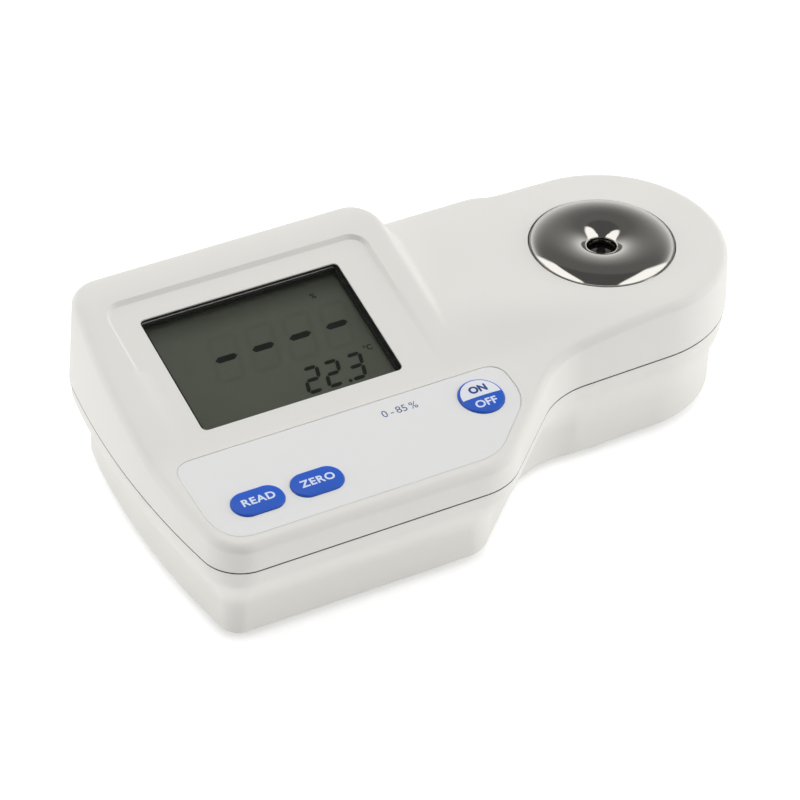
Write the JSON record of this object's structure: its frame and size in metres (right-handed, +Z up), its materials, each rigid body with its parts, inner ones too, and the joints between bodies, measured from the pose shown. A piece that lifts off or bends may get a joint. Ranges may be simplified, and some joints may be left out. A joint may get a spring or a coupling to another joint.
{
  "type": "digital refractometer",
  "caption": "Hand-held and bench meter with a sloping display, a keypad and a round steel sample well with a prism at its far end; a coin-slot cover in the base holds the battery.",
  "frame": {"origin": "middle of the bounding box in plan, on the surface that the rubber feet stand on", "axes": "+X along the case towards the round end with the sample well, -Y towards the user, +Z up"},
  "size_m": [0.192, 0.102, 0.0559],
  "materials": {
    "housing_white": "fine satin moulding",
    "seal_rubber": "dull black elastomer",
    "foot_rubber": "dull black elastomer",
    "window_clear": "clear and polished",
    "display_dark": "dark olive display glass",
    "frame_black": "matt black moulding",
    "film_grey": "satin printed film",
    "key_blue": "satin blue moulding",
    "dome_steel": "bright sheet metal",
    "well_steel": "mirror-polished stainless steel",
    "mirror_silver": "front-coated mirror",
    "prism_glass": "polished optical glass over the dark measuring chamber",
    "board_green": "green solder mask",
    "ribbon_film": "amber cable film",
    "battery_can": "plain dark jacket",
    "sleeve_red": "red wire sleeve",
    "sleeve_black": "black wire sleeve",
    "screw_zinc": "zinc-plated steel"
  },
  "bodies": {
    "case": {"upper_housing": "housing_white", "lower_housing": "housing_white", "housing_seal": "seal_rubber", "well_o_ring": "seal_rubber", "prism_seal": "seal_rubber", "contact_strip_front": "seal_rubber", "contact_strip_back": "seal_rubber", "battery_snap": "seal_rubber", "foot_front_left": "foot_rubber", "foot_back_left": "foot_rubber", "foot_front_right": "foot_rubber", "foot_back_right": "foot_rubber", "display_window": "window_clear", "lamp": "window_clear", "lens": "window_clear", "lcd_glass": "display_dark", "window_gasket": "frame_black", "lcd_frame": "frame_black", "optical_block": "frame_black", "optics_cover": "frame_black", "image_sensor": "frame_black", "keypad_overlay": "film_grey", "dome_read": "dome_steel", "dome_zero": "dome_steel", "dome_on_off": "dome_steel", "temperature_sensor": "dome_steel", "sample_well": "well_steel", "mirror": "mirror_silver", "prism": "prism_glass", "main_board": "board_green", "keypad_board": "board_green", "lamp_board": "board_green", "sensor_board": "board_green", "sensor_ribbon": "ribbon_film", "keypad_ribbon": "ribbon_film", "battery": "battery_can", "battery_lead_red": "sleeve_red", "battery_lead_black": "sleeve_black", "board_screw_1": "screw_zinc", "board_screw_2": "screw_zinc", "board_screw_3": "screw_zinc", "board_screw_4": "screw_zinc", "keypad_screw_1": "screw_zinc", "keypad_screw_2": "screw_zinc", "optics_screw_1": "screw_zinc", "optics_screw_2": "screw_zinc", "housing_screw_1": "screw_zinc", "housing_screw_2": "screw_zinc", "housing_screw_3": "screw_zinc", "housing_screw_4": "screw_zinc", "housing_screw_5": "screw_zinc"},
    "read_key": {"key_read": "key_blue"},
    "zero_key": {"key_zero": "key_blue"},
    "power_key": {"key_on_off": "key_blue"},
    "battery_door": {"battery_cover": "housing_white", "cover_o_ring": "seal_rubber"}
  },
  "joints": [
    {"name": "read_key_press", "type": "slide", "parent": "case", "child": "read_key", "axis": [0, 0.1142, -0.9935], "range_m": [0, 0.0006], "stiffness_N_per_m": 2500, "deforming": ["dome_read"]},
    {"name": "zero_key_press", "type": "slide", "parent": "case", "child": "zero_key", "axis": [0, 0.1142, -0.9935], "range_m": [0, 0.0006], "stiffness_N_per_m": 2500, "deforming": ["dome_zero"]},
    {"name": "power_key_press", "type": "slide", "parent": "case", "child": "power_key", "axis": [0, 0.1142, -0.9935], "range_m": [0, 0.0006], "stiffness_N_per_m": 2500, "deforming": ["dome_on_off"]},
    {"name": "battery_door_turn", "type": "hinge", "parent": "case", "child": "battery_door", "pos_m": [-0.046, 0, 0.003], "axis": [0, 0, -1], "range_deg": [0, 45]}
  ]
}
